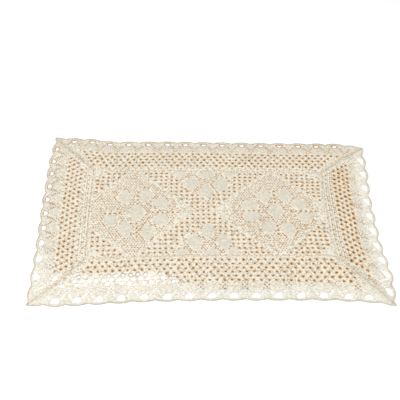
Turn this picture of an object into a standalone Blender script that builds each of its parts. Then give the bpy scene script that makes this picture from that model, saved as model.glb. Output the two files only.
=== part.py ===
"""A cotton lace table mat lying flat: a centre panel of patterned open ground,
and four lengths of scalloped lace edging mitred at the corners and sewn round it.

Each piece is a thin sheet. Its shape starts in flat lace places, in millimetres:
u runs to the right, v runs to the back, and both are 0 at the centre of the mat.
placed() then gives the uneven outline and the low folds in which the mat lies.
"""
import math

import bmesh
import bpy

MM = 0.001

# The flat mat. Its pieces are sewn edge to edge, with a hair's gap between the solids.
WIDTH = 450.0
DEPTH = 288.0
BORDER = 66.0
GAP = 0.3

# Thickness of the cloth, of the twisted cord at its rim, of the inner hem and of the
# overcast ridge along each mitre, with the width of each.
CLOTH = 1.6
CORD = 3.0
CORD_WIDE = 4.4
HEM = 2.5
HEM_WIDE = 12.0
HEM_SLOPE = 1.5
SEAM_WIDE = 3.0
RIDGE = 2.8
RIDGE_WIDE = 5.0

# The edging: a shallow scallop round each half-moon eyelet.
SCALLOP = 2.2
COLUMNS_A_SCALLOP = 2
END_CLEAR = 8.0
MIDDLE_ROW = 30.0
EYELET_WIDE = 11.0
EYELET_FROM = 4.6
EYELET_TO = 12.6
EYELET_STEPS = 6

# The edging's net, at twice its real spacing, with six-sided holes in staggered rows.
NET_PITCH = 18.0
NET_ROWS = (33.0, 45.2, 57.4)
NET_HOLE_WIDE = 8.4
NET_HOLE_DEEP = 7.2
NET_HOLE_SIDES = 6
NET_MARGIN = 8.0

# The four lengths of edging. Places along each are measured from its left or back end:
# name, first eyelet, distance between eyelets, number of them, width of the inner hem.
EDGINGS = (
    ("border_front", 10.0, 27.0, 16, SEAM_WIDE),
    ("border_back", 27.5, 27.0, 16, SEAM_WIDE),
    ("border_left", 24.0, 25.5, 10, HEM_WIDE),
    ("border_right", 34.0, 26.0, 10, HEM_WIDE),
)

# The panel's ground is a square grid of cells. Every second open one each way is cut.
CELL = 7.23
LAST_COLUMN = 21
LAST_ROW = 10
CELL_STEP = 2
PANEL_HOLE = 7.4
PANEL_GRID = (16, 8)
# Two whole medallions of dense cloth, and half ones at the middle of the long edges.
MEDALLION_COLUMNS = (-14, 12)
MEDALLION_REACH = 12
HALF_MEDALLION_COLUMN = -1
# Half width in cells of a half medallion, row by row in from the panel's edge.
HALF_MEDALLION = (7, 6, 5, 5, 4, 2, 1)
CORNER_PATCH = 2

# How far each edge lies from its straight line: place along it, shift. A positive
# shift is to the back on the long edges and to the right on the short ones.
FRONT_EDGE = ((-225, -10), (-188, -11), (-134, -6), (-80, -1), (0, 3), (136, 6.5), (190, 5), (225, 0))
BACK_EDGE = ((-225, 3), (-170, 2), (-140, -3), (-60, 0), (60, 1.5), (190, 4), (225, -3))
LEFT_EDGE = ((-144, 3), (-58, 1.5), (20, -1.5), (94, -3), (144, 0))
RIGHT_EDGE = ((-144, 1), (-100, 4), (-69, 0.5), (-42, -3), (39, -4), (93, -0.5), (144, -0.5))

# How far the middle of the cloth is pulled to the back: place from front to back, pull.
PULL = ((-144, 0), (-80, 2.5), (40, 2.5), (84, 0.5), (144, 0))

# The mat is a little domed. Its rise starts and ends at these depths in from each rim.
RISE = 3.8
FRONT_RISE = (30, 76)
BACK_RISE = (4, 36)
LEFT_RISE = (6, 48)
RIGHT_RISE = (8, 56)

# Folds and dips on the dome: u, v, heading in degrees, half length, half width, height.
FOLDS = (
    (-101, 4, 15, 84, 62, 0.5),
    (84, -30, -12, 88, 60, 0.7),
    (150, 70, 10, 110, 45, -1.4),
    (-8, 116, 2, 120, 24, 0.5),
    (188, 10, 84, 96, 27, 0.7),
    (-192, 10, 93, 90, 28, 0.6),
    (40, -108, 2, 130, 28, 2.4),
    (158, -98, -38, 62, 22, 2.2),
    (-150, 106, 20, 60, 22, 0.6),
)

COTTON = (0.76, 0.68, 0.55)
SHADE_STEP = 0.02
ROUGHNESS = 0.85

CUT_FROM = -4.0
CUT_TO = 14.0


def between(table, place):
    """The table's value at a place, straight between its rows."""
    for (a, low), (b, high) in zip(table, table[1:]):
        if place <= b:
            share = max(0.0, (place - a) / (b - a))
            return low + (high - low) * share
    return table[-1][1]


def bump(t):
    """1 at the middle of a fold, and exactly 0 from its rim outwards."""
    return (1.0 - t * t) ** 2 if abs(t) < 1.0 else 0.0


def smooth(band, x):
    """0 before the band, 1 after it and a soft step between."""
    t = min(1.0, max(0.0, (x - band[0]) / (band[1] - band[0])))
    return t * t * (3 - 2 * t)


def lift(u, v):
    """Height of the cloth's underside above the table."""
    height = RISE * smooth(FRONT_RISE, DEPTH / 2 + v) * smooth(BACK_RISE, DEPTH / 2 - v)
    height *= smooth(LEFT_RISE, WIDTH / 2 + u) * smooth(RIGHT_RISE, WIDTH / 2 - u)
    for fold_u, fold_v, heading, half_length, half_width, fold_height in FOLDS:
        turn = math.radians(heading)
        along = (u - fold_u) * math.cos(turn) + (v - fold_v) * math.sin(turn)
        across = (v - fold_v) * math.cos(turn) - (u - fold_u) * math.sin(turn)
        height += fold_height * bump(along / half_length) * bump(across / half_width)
    return max(0.0, height)


def placed(u, v):
    """Where a flat lace place lies: x, y and the height of its underside, in mm."""
    across = (u + WIDTH / 2) / WIDTH
    back = (v + DEPTH / 2) / DEPTH
    x = u + between(LEFT_EDGE, v) * (1 - across) + between(RIGHT_EDGE, v) * across
    y = v + between(FRONT_EDGE, u) * (1 - back) + between(BACK_EDGE, u) * back
    y += between(PULL, v) * (1 - (2 * u / WIDTH) ** 4)
    return x, y, lift(u, v)


def on_side(name, along, depth):
    """The flat lace place on one edging: its distance along the edge and in from it."""
    if name == "border_front":
        return along - WIDTH / 2, depth - DEPTH / 2
    if name == "border_back":
        return along - WIDTH / 2, DEPTH / 2 - depth
    if name == "border_left":
        return depth - WIDTH / 2, DEPTH / 2 - along
    return WIDTH / 2 - depth, DEPTH / 2 - along


def cotton(name, shade):
    """Matt cotton, a little darker from piece to piece."""
    material = bpy.data.materials.new(name)
    material.use_nodes = True
    surface = material.node_tree.nodes["Principled BSDF"]
    surface.inputs["Base Color"].default_value = (*(c * shade for c in COTTON), 1.0)
    surface.inputs["Roughness"].default_value = ROUGHNESS
    surface.inputs["Metallic"].default_value = 0.0
    return material


def as_object(bm, name):
    """A new object that holds the finished mesh."""
    bmesh.ops.recalc_face_normals(bm, faces=bm.faces[:])
    mesh = bpy.data.meshes.new(name)
    bm.to_mesh(mesh)
    bm.free()
    return bpy.data.objects.new(name, mesh)


def moved(raised):
    """The vertices that an extrusion has just made."""
    return [item for item in raised["geom"] if isinstance(item, bmesh.types.BMVert)]


def sheet(name, columns, rows, place, thickness):
    """A grid laid at place(column, row) and thickened upwards by thickness(column, row)."""
    bm = bmesh.new()
    bmesh.ops.create_grid(bm, x_segments=columns, y_segments=rows, size=1.0)
    top = bm.verts.layers.float.new("top")
    for vertex in bm.verts:
        column = round((vertex.co.x + 1) / 2 * columns)
        row = round((vertex.co.y + 1) / 2 * rows)
        x, y, z = placed(*place(column, row))
        vertex.co = (x * MM, y * MM, z * MM)
        vertex[top] = (z + thickness(column, row)) * MM
    for vertex in moved(bmesh.ops.extrude_face_region(bm, geom=bm.faces[:], use_keep_orig=True)):
        vertex.co.z = vertex[top]
    return as_object(bm, name)


def add_prism(bm, outline):
    """An upright prism through the cloth over an outline of flat lace places."""
    corners = []
    for u, v in outline:
        x, y, _ = placed(u, v)
        corners.append(bm.verts.new((x * MM, y * MM, CUT_FROM * MM)))
    base = bm.faces.new(corners)
    for vertex in moved(bmesh.ops.extrude_face_region(bm, geom=[base], use_keep_orig=True)):
        vertex.co.z = CUT_TO * MM


def cut(piece, outlines, cutters):
    """Cuts every outline through the piece with one Boolean, and returns the cutter."""
    bm = bmesh.new()
    for outline in outlines:
        add_prism(bm, outline)
    cutter = as_object(bm, piece.name + "_holes")
    cutter.hide_render = True
    cutter.display_type = "WIRE"
    cutters.objects.link(cutter)
    boolean = piece.modifiers.new("holes", "BOOLEAN")
    boolean.operation = "DIFFERENCE"
    boolean.solver = "EXACT"
    boolean.object = cutter
    return cutter


def ring(along, depth, wide, deep, sides, turn=0.0):
    """The corners of a many-sided hole, as places along an edge and in from it."""
    angles = [turn + math.tau * k / sides for k in range(sides)]
    return [(along + wide / 2 * math.cos(a), depth + deep / 2 * math.sin(a)) for a in angles]


def eyelet(along):
    """The outline of a half moon with its flat side towards the cord."""
    arc = [math.pi * k / EYELET_STEPS for k in range(EYELET_STEPS + 1)]
    reach = EYELET_TO - EYELET_FROM
    return [(along + EYELET_WIDE / 2 * math.cos(a), EYELET_FROM + reach * math.sin(a)) for a in arc]


def net_holes(length, hem):
    """The outlines of the net's holes, clear of the mitred ends and of the hem."""
    holes = []
    for number, depth in enumerate(NET_ROWS):
        if depth + NET_HOLE_DEEP / 2 > BORDER - hem - HEM_SLOPE:
            continue
        room = length / 2 - depth - NET_MARGIN
        offset = NET_PITCH / 2 if number % 2 else 0.0
        steps = math.ceil(length / 2 / NET_PITCH)
        for step in range(-steps, steps + 1):
            along = step * NET_PITCH + offset
            if abs(along) + NET_HOLE_WIDE / 2 <= room:
                holes.append(ring(length / 2 + along, depth, NET_HOLE_WIDE, NET_HOLE_DEEP, NET_HOLE_SIDES))
    return holes


def edging(name, first, pitch, count, hem, cutters):
    """One mitred length of scalloped edging, and the cutter of its eyelets and net."""
    length = WIDTH if name in ("border_front", "border_back") else DEPTH
    rows = (0.0, CORD_WIDE / 2, CORD_WIDE, MIDDLE_ROW, BORDER - hem - HEM_SLOPE, BORDER - hem, BORDER - GAP / 2)
    spacing = pitch / COLUMNS_A_SCALLOP
    start = -math.floor((first - END_CLEAR) / spacing)
    stop = math.ceil((length - first - END_CLEAR) / spacing)
    end_gap = GAP * math.sqrt(0.5)
    marks = [first + spacing * k for k in range(start, stop)]
    columns = [end_gap, RIDGE_WIDE, *marks, length - RIDGE_WIDE, length - end_gap]
    last = len(columns) - 1

    def place(column, row):
        """The scallops are on the outer row, and the other rows shorten along the mitres."""
        along, depth = columns[column], rows[row]
        if column == 0:
            return on_side(name, along + depth, depth)
        if column == last:
            return on_side(name, along - depth, depth)
        shorter = 1 - 2 * depth / (length - 2 * RIDGE_WIDE)
        if row == 0:
            depth += SCALLOP * (1 - abs(math.cos(math.pi * (along - first) / pitch)))
        return on_side(name, length / 2 + (along - length / 2) * shorter, depth)

    def thickness(column, row):
        if row == 1:
            return CORD
        if column in (0, last) and row > 1:
            return RIDGE
        return HEM if rows[row] >= BORDER - hem else CLOTH

    piece = sheet(name, last, len(rows) - 1, place, thickness)
    outlines = [eyelet(first + pitch * k) for k in range(count)] + net_holes(length, hem)
    cutter = cut(piece, [[on_side(name, *corner) for corner in outline] for outline in outlines], cutters)
    return piece, cutter


def is_open(column, row):
    """True where the panel's ground is open, outside the medallions and corner patches."""
    from_edge = LAST_ROW - abs(row)
    if any(abs(column - middle) + abs(row) < MEDALLION_REACH for middle in MEDALLION_COLUMNS):
        return False
    if from_edge < len(HALF_MEDALLION) and abs(column - HALF_MEDALLION_COLUMN) < HALF_MEDALLION[from_edge]:
        return False
    return from_edge + LAST_COLUMN - abs(column) >= CORNER_PATCH


def panel(cutters):
    """The centre panel, and the cutter of its open ground."""
    half_width = WIDTH / 2 - BORDER - GAP / 2
    half_depth = DEPTH / 2 - BORDER - GAP / 2
    columns, rows = PANEL_GRID

    def place(column, row):
        return half_width * (2 * column / columns - 1), half_depth * (2 * row / rows - 1)

    piece = sheet("centre_panel", columns, rows, place, lambda column, row: CLOTH)
    across_corners = PANEL_HOLE * math.sqrt(2)
    outlines = []
    for column in range(1 - LAST_COLUMN, LAST_COLUMN, CELL_STEP):
        for row in range(-LAST_ROW, LAST_ROW + 1, CELL_STEP):
            if is_open(column, row):
                outlines.append(ring(column * CELL, row * CELL, across_corners, across_corners, 4, math.pi / 4))
    return piece, cut(piece, outlines, cutters)


def centre(root, pieces):
    """Moves the mat so that the middle of its uneven outline is over the origin."""
    spots = [vertex.co for piece in pieces for vertex in piece.data.vertices]
    root.location.x = -(min(s.x for s in spots) + max(s.x for s in spots)) / 2
    root.location.y = -(min(s.y for s in spots) + max(s.y for s in spots)) / 2


def build():
    for thing in list(bpy.data.objects):
        bpy.data.objects.remove(thing)
    mat = bpy.data.collections.new("lace_table_mat")
    cutters = bpy.data.collections.new("cutters")
    bpy.context.scene.collection.children.link(mat)
    bpy.context.scene.collection.children.link(cutters)
    root = bpy.data.objects.new("mat", None)
    mat.objects.link(root)
    made = [panel(cutters)] + [edging(*row, cutters) for row in EDGINGS]
    for number, (piece, cutter) in enumerate(made):
        piece.data.materials.append(cotton(piece.name + "_cotton", 1 - SHADE_STEP * number))
        piece.parent = root
        cutter.parent = root
        mat.objects.link(piece)
    centre(root, [piece for piece, _ in made])


build()
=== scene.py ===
# %% [markdown]
# A cotton lace table mat, made of five pieces of lace sewn together.
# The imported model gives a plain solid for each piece, and each is replaced here by the
# same sheet with all its holes, the twisted cord round its rim and the seam stitches.
# Everything is drawn flat first, as the lace leaves the machine, and laid down after.

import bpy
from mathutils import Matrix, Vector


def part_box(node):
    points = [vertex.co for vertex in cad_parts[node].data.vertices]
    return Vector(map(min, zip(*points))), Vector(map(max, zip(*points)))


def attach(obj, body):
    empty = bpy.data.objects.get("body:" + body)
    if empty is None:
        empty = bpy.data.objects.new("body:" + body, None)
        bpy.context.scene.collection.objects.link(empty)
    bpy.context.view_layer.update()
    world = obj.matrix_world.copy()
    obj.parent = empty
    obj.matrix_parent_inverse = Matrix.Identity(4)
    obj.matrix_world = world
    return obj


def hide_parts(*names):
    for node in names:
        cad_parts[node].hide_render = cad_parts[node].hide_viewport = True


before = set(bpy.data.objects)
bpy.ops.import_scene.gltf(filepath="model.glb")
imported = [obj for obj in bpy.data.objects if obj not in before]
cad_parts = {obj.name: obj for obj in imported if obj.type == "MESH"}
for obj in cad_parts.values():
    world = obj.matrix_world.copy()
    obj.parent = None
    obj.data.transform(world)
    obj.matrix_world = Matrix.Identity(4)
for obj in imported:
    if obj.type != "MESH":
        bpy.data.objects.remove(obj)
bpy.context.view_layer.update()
print("pieces in the packed model:", sorted(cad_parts))

# %% Helpers from Blender and Python
import math
import random

import bpy
from mathutils import Matrix, Vector
from mathutils.geometry import delaunay_2d_cdt
from mathutils.kdtree import KDTree

MM = 0.001
chance = random.Random(7)

# %% [markdown]
# The flat sizes, in millimetres. u runs to the right and v to the back, and both are 0
# at the centre of the mat. A place on one edging is its distance along the rim, from
# the left or back end, and its depth in from the rim. on_side() turns one into the other,
# so that one chart serves all four lengths of edging.

# %% Sizes of the flat mat
WIDTH = 450.0
DEPTH = 288.0
BORDER = 66.0
GAP = 0.3

# first eyelet, distance between eyelets, number of them, width of the inner hem
EDGINGS = {
    "border_front": (10.0, 27.0, 16, 3.0),
    "border_back": (27.5, 27.0, 16, 3.0),
    "border_left": (24.0, 25.5, 10, 12.0),
    "border_right": (34.0, 26.0, 10, 12.0),
}
LONG_SIDES = ("border_front", "border_back")
# Their rims are at the high end of u or v.
FAR_SIDES = ("border_back", "border_right")


def side_length(name):
    return WIDTH if name in LONG_SIDES else DEPTH


def on_side(name, along, depth):
    """The flat place of a point on one edging."""
    sign = -1 if name in FAR_SIDES else 1
    if name in LONG_SIDES:
        return along - WIDTH / 2, sign * (depth - DEPTH / 2)
    return sign * (depth - WIDTH / 2), DEPTH / 2 - along


def from_side(name, u, v):
    """The distance along and depth of a flat place on one edging."""
    sign = -1 if name in FAR_SIDES else 1
    if name in LONG_SIDES:
        return u + WIDTH / 2, DEPTH / 2 + sign * v
    return DEPTH / 2 - v, WIDTH / 2 + sign * u


print("flat mat", WIDTH, "by", DEPTH, "mm, repeats", sum(row[2] for row in EDGINGS.values()))

# %% [markdown]
# Real lace never lies square. Each rim is pulled in or out by a few millimetres, which
# a short table gives at a few places along it, and the cloth between follows both rims.
# The mat is also a little domed: from a flat rim it rises by about 4 mm, with low folds
# on top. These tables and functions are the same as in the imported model's source, so
# the lace lies where the plain solids do.

# %% Where the flat lace lies
FRONT_EDGE = ((-225, -10), (-188, -11), (-134, -6), (-80, -1), (0, 3), (136, 6.5), (190, 5), (225, 0))
BACK_EDGE = ((-225, 3), (-170, 2), (-140, -3), (-60, 0), (60, 1.5), (190, 4), (225, -3))
LEFT_EDGE = ((-144, 3), (-58, 1.5), (20, -1.5), (94, -3), (144, 0))
RIGHT_EDGE = ((-144, 1), (-100, 4), (-69, 0.5), (-42, -3), (39, -4), (93, -0.5), (144, -0.5))
# How far the middle of the cloth is pulled to the back: place from front to back, pull.
PULL = ((-144, 0), (-80, 2.5), (40, 2.5), (84, 0.5), (144, 0))

# The dome's rise, and the depths in from each rim at which it starts and ends.
RISE = 3.8
FRONT_RISE = (30, 76)
BACK_RISE = (4, 36)
LEFT_RISE = (6, 48)
RIGHT_RISE = (8, 56)

# Folds and dips on the dome: u, v, heading in degrees, half length, half width, height.
FOLDS = (
    (-101, 4, 15, 84, 62, 0.5),
    (84, -30, -12, 88, 60, 0.7),
    (150, 70, 10, 110, 45, -1.4),
    (-8, 116, 2, 120, 24, 0.5),
    (188, 10, 84, 96, 27, 0.7),
    (-192, 10, 93, 90, 28, 0.6),
    (40, -108, 2, 130, 28, 2.4),
    (158, -98, -38, 62, 22, 2.2),
    (-150, 106, 20, 60, 22, 0.6),
)


def between(table, place_along):
    """The table's value at a place, straight between its rows."""
    for (a, low), (b, high) in zip(table, table[1:]):
        if place_along <= b:
            return low + (high - low) * max(0.0, (place_along - a) / (b - a))
    return table[-1][1]


def bump(t):
    return (1.0 - t * t) ** 2 if abs(t) < 1.0 else 0.0


def smooth(band, x):
    """0 before the band, 1 after it and a soft step between."""
    t = min(1.0, max(0.0, (x - band[0]) / (band[1] - band[0])))
    return t * t * (3 - 2 * t)


def lift(u, v):
    """Height of the cloth's underside above the table."""
    height = RISE * smooth(FRONT_RISE, DEPTH / 2 + v) * smooth(BACK_RISE, DEPTH / 2 - v)
    height *= smooth(LEFT_RISE, WIDTH / 2 + u) * smooth(RIGHT_RISE, WIDTH / 2 - u)
    for fold_u, fold_v, heading, half_length, half_width, fold_height in FOLDS:
        turn = math.radians(heading)
        along = (u - fold_u) * math.cos(turn) + (v - fold_v) * math.sin(turn)
        across = (v - fold_v) * math.cos(turn) - (u - fold_u) * math.sin(turn)
        height += fold_height * bump(along / half_length) * bump(across / half_width)
    return max(0.0, height)


def laid(u, v):
    """x and y of a flat place, before the mat is centred."""
    across = (u + WIDTH / 2) / WIDTH
    back = (v + DEPTH / 2) / DEPTH
    x = u + between(LEFT_EDGE, v) * (1 - across) + between(RIGHT_EDGE, v) * across
    y = v + between(FRONT_EDGE, u) * (1 - back) + between(BACK_EDGE, u) * back
    return x, y + between(PULL, v) * (1 - (2 * u / WIDTH) ** 4)


# %% [markdown]
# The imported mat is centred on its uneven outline. The same shift is read off the panel:
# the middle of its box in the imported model, less the middle of the box drawn here.

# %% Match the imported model's centre
PANEL_U = WIDTH / 2 - BORDER
PANEL_V = DEPTH / 2 - BORDER


def panel_middle():
    half_u, half_v = PANEL_U - GAP / 2, PANEL_V - GAP / 2
    spots = [laid(half_u * (i / 8 - 1), half_v * (j / 4 - 1)) for i in range(17) for j in range(9)]
    xs, ys = zip(*spots)
    return (min(xs) + max(xs)) / 2, (min(ys) + max(ys)) / 2


low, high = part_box("centre_panel")
middle = panel_middle()
SHIFT = ((low.x + high.x) / 2 / MM - middle[0], (low.y + high.y) / 2 / MM - middle[1])
print("shift of the mat in mm:", [round(s, 2) for s in SHIFT])


def place(u, v, above=0.0):
    """The point in metres over a flat place, a given height above the cloth's underside."""
    x, y = laid(u, v)
    return Vector(((x + SHIFT[0]) * MM, (y + SHIFT[1]) * MM, (lift(u, v) + above) * MM))


# %% [markdown]
# A hole in lace is drawn as two loops with the same number of points: the rim, where
# the threads come closest, and a wider shoulder on the top and the underside, where the
# rounded threads begin. Holes differ a little in size and place, as real stitches do.

# %% Outlines of the holes
# How far out the shoulder is from the rim of an oval hole, a slit, an eyelet.
SHOULDER = 0.58
SLIT_SHOULDER = 0.2
EYELET_SHOULDER = 0.7
# How far a hole's place, size and turn vary.
JITTER = 0.38
SIZE_VARIES = (0.8, 1.14)
LENGTH_VARIES = (0.8, 1.08)
TURN_VARIES = 0.7
SKEW_VARIES = 1.0

# An eyelet's peak is more pointed than its foot, which is nearly flat.
EYELET_REACH = 8.2
EYELET_HALF_WIDE = 5.5
EYELET_SIDES = 16
# The share of its shoulder that an eyelet has at its peak and its foot.
END_SHOULDER = 0.8
PEAK_POWER, FOOT_POWER = 1.1, 0.7
FOOT_CLIMB = 0.22
FOOT_SHARE, PEAK_SHARE = 0.18, 0.82


def ring(along, depth, wide, deep, sides, turn):
    cos, sin = math.cos(turn), math.sin(turn)
    loop = []
    for k in range(sides):
        a = math.tau * (k + 0.5) / sides
        x, y = wide / 2 * math.cos(a), deep / 2 * math.sin(a)
        loop.append((along + x * cos - y * sin, depth + x * sin + y * cos))
    return loop


def oval_loops(along, depth, wide, deep, sides, turn, shoulder):
    grows = (0, 2 * shoulder)
    return [ring(along, depth, wide + more, deep + more, sides, turn) for more in grows]


def oval_hole(along, depth, wide, deep, sides, shoulder=SHOULDER, jitter=JITTER):
    along += chance.uniform(-jitter, jitter)
    depth += chance.uniform(-jitter, jitter)
    wide *= chance.uniform(*SIZE_VARIES)
    deep *= chance.uniform(*SIZE_VARIES)
    turn = chance.uniform(-TURN_VARIES, TURN_VARIES)
    return oval_loops(along, depth, wide, deep, sides, turn, shoulder)


def slit(along, depth, long, narrow, turn):
    """A small oblong hole whose long way is turned from the rim's direction."""
    long *= chance.uniform(*LENGTH_VARIES)
    return oval_loops(along, depth, long, narrow, 8, turn, SLIT_SHOULDER)


def half_moon(along, near, skew, grown):
    """A loop with its flat side towards the mat's rim and its peak away, grown all round."""
    reach = EYELET_REACH + grown * 2 * END_SHOULDER
    loop = []
    for k in range(EYELET_SIDES):
        a = math.tau * (k + 0.5) / EYELET_SIDES
        up = math.sin(a)
        power = PEAK_POWER if up > 0 else FOOT_POWER
        side = math.copysign(abs(math.cos(a)) ** power, math.cos(a))
        climb = up if up > 0 else FOOT_CLIMB * up
        depth = near - grown * END_SHOULDER + reach * (FOOT_SHARE + PEAK_SHARE * climb)
        loop.append((along + (EYELET_HALF_WIDE + grown) * side + skew * max(0, climb), depth))
    return loop


def eyelet(along, near, skew):
    skew += chance.uniform(-SKEW_VARIES, SKEW_VARIES)
    return [half_moon(along, near, skew, grown) for grown in (0, EYELET_SHOULDER)]


# %% [markdown]
# Two holes must not run into each other, or the thread between them would be cut. The
# chart therefore keeps each hole in squares of 8 mm, and a new hole is checked against
# its neighbours before it is kept.

# %% A chart that keeps its holes apart
SQUARE = 8.0
LEAST_THREAD = 0.12


def is_inside(spot, loop):
    """True where a horizontal line from the spot crosses the loop an odd number of times."""
    u, v = spot
    inside = False
    for (a, b), (c, d) in zip(loop, loop[1:] + loop[:1]):
        if (b > v) != (d > v) and u < a + (v - b) * (c - a) / (d - b):
            inside = not inside
    return inside


def middle_of(loop):
    return [sum(x) / len(x) for x in zip(*loop)]


def wider(loop, by):
    """The loop with each point moved away from its middle, or towards it if by is below 0."""
    u, v = middle_of(loop)
    grown = []
    for a, b in loop:
        far = math.dist((a, b), (u, v))
        grown.append((u + (a - u) * (far + by) / far, v + (b - v) * (far + by) / far))
    return grown


class Chart:
    """The holes of one piece as (rim, shoulder) pairs, none of them touching another."""

    def __init__(self):
        self.holes, self.squares, self.left_out = [], {}, 0

    def squares_of(self, loop):
        spans = [range(int(min(x) // SQUARE), int(max(x) // SQUARE) + 1) for x in zip(*loop)]
        return [(column, row) for column in spans[0] for row in spans[1]]

    def add(self, hole):
        grown = wider(hole[1], LEAST_THREAD)
        squares = self.squares_of(grown)
        for number in {n for square in squares for n in self.squares.get(square, ())}:
            other = self.holes[number][1]
            if any(is_inside(p, other) for p in grown) or any(is_inside(p, grown) for p in other):
                self.left_out += 1
                return
        for square in squares:
            self.squares.setdefault(square, []).append(len(self.holes))
        self.holes.append(hole)


# %% [markdown]
# Where the lace is raised, its holes narrow to funnels with painted brown shade. Where it
# lies on the white table, mostly at the front, its holes open wide and its threads have
# painted light, as light comes through them.

# %% Where the lace has painted light and where its holes have painted shade
# The lace has painted light and wider holes where it is lifted less than the first of these.
SHADE_FROM_LIFT = (0.6, 1.3)
# How much of that painted light it has there: v, share.
PALE_ALONG = ((-144, 1.0), (-84, 0.9), (-30, 0.35), (60, 0.1), (144, 0.05))

# Right of the middle, the net behind the front rim has painted brown shade in its holes
# again, but the right rim is as pale as the front one.
HOLE_SHADE_RIGHT = (20, 90)
HOLE_SHADE_BEHIND = (-126, -116)
HOLE_SHADE_SHARE = 0.85
RIGHT_RIM = (14, 24)
# The painted brown shade in a hole is deeper in the right border: u, share.
DEEPER_HOLE_SHADE = ((-225, 1.12), (60, 1.15), (165, 1.6), (225, 1.65))


# How much painted light the lace has, and how wide its holes open. Where it is low, holes get painted
# brown shade.
def paleness(u, v):
    lies = 1 - smooth(SHADE_FROM_LIFT, lift(u, v))
    share = between(PALE_ALONG, v) * (1 - HOLE_SHADE_SHARE * smooth(HOLE_SHADE_RIGHT, u) * smooth(HOLE_SHADE_BEHIND, v))
    return lies * max(share, 1 - smooth(RIGHT_RIM, WIDTH / 2 - u))


print("paleness at the front rim", round(paleness(0, -140), 2), "and at the middle", paleness(0, 0))

# %% [markdown]
# From outlines to a sheet. Delaunay triangulation fills the flat plan between the
# shoulders with triangles, which Blender has as a function. The same triangles serve
# the top and the underside, and bands of quads run from each shoulder round the rim to
# the underside, so the sheet is closed and every thread between two holes is rounded.
# Each vertex keeps its flat place as the UV map, so that a weave follows the cloth, and
# three numbers: how much painted brown shade it has down in a hole or underneath, how
# close the cloth is, and how much painted light it has where it lies pale.

# %% A sheet while it is built
class Sheet:
    """Vertices as (point, flat place, depth of painted shade, dense, pale as painted light), and the
    faces between them.
    """

    def __init__(self):
        self.vertices, self.faces = [], []

    def add(self, u, v, above, depth, dense, pale):
        self.vertices.append((place(u, v, above), (u * MM, v * MM), depth, dense, pale))
        return len(self.vertices) - 1

    def band(self, upper, lower):
        """Quads from one loop of vertices down to the next, facing into the hole."""
        for k in range(len(upper)):
            n = (k + 1) % len(upper)
            self.faces.append((upper[k], upper[n], lower[n], lower[k]))


def as_object(name, sheet):
    points, flat, *numbers = zip(*sheet.vertices)
    mesh = bpy.data.meshes.new(name)
    mesh.from_pydata(points, [], sheet.faces)
    places = [value for corner in mesh.loops for value in flat[corner.vertex_index]]
    mesh.uv_layers.new(name="flat").data.foreach_set("uv", places)
    for label, values in zip(("depth", "dense", "pale"), numbers):
        mesh.attributes.new(label, "FLOAT", "POINT").data.foreach_set("value", values)
    mesh.shade_smooth()
    thing = bpy.data.objects.new(name, mesh)
    bpy.context.scene.collection.objects.link(thing)
    return thing


# %% Turn outlines into a lace sheet
# Heights of a hole's lip and rim, as shares of the lace's thickness.
LIP_HEIGHT = 0.68
RIM_HEIGHT = 0.28
# A raised hole narrows to a funnel with painted brown shade: by this share of its radius,
# and by this much at most.
FUNNEL_SHARE = 0.86
FUNNEL_MOST = 1.9
# How much painted shade a lip and a rim have: always, and more where a hole has painted
# brown shade.
ALWAYS_SHADE = 0.12
LIP_SHADE = 0.45
RIM_SHADE = 0.88
SHADE_VARIES = (0.5, 1.0)
HOLE_DENSE = 0.5


def anticlockwise(pair):
    """Both loops turned round if the area inside the first comes out below 0."""
    area = sum(a * d - c * b for (a, b), (c, d) in zip(pair[0], pair[0][1:] + pair[0][:1]))
    return [loop[::-1] for loop in pair] if area < 0 else pair


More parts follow.
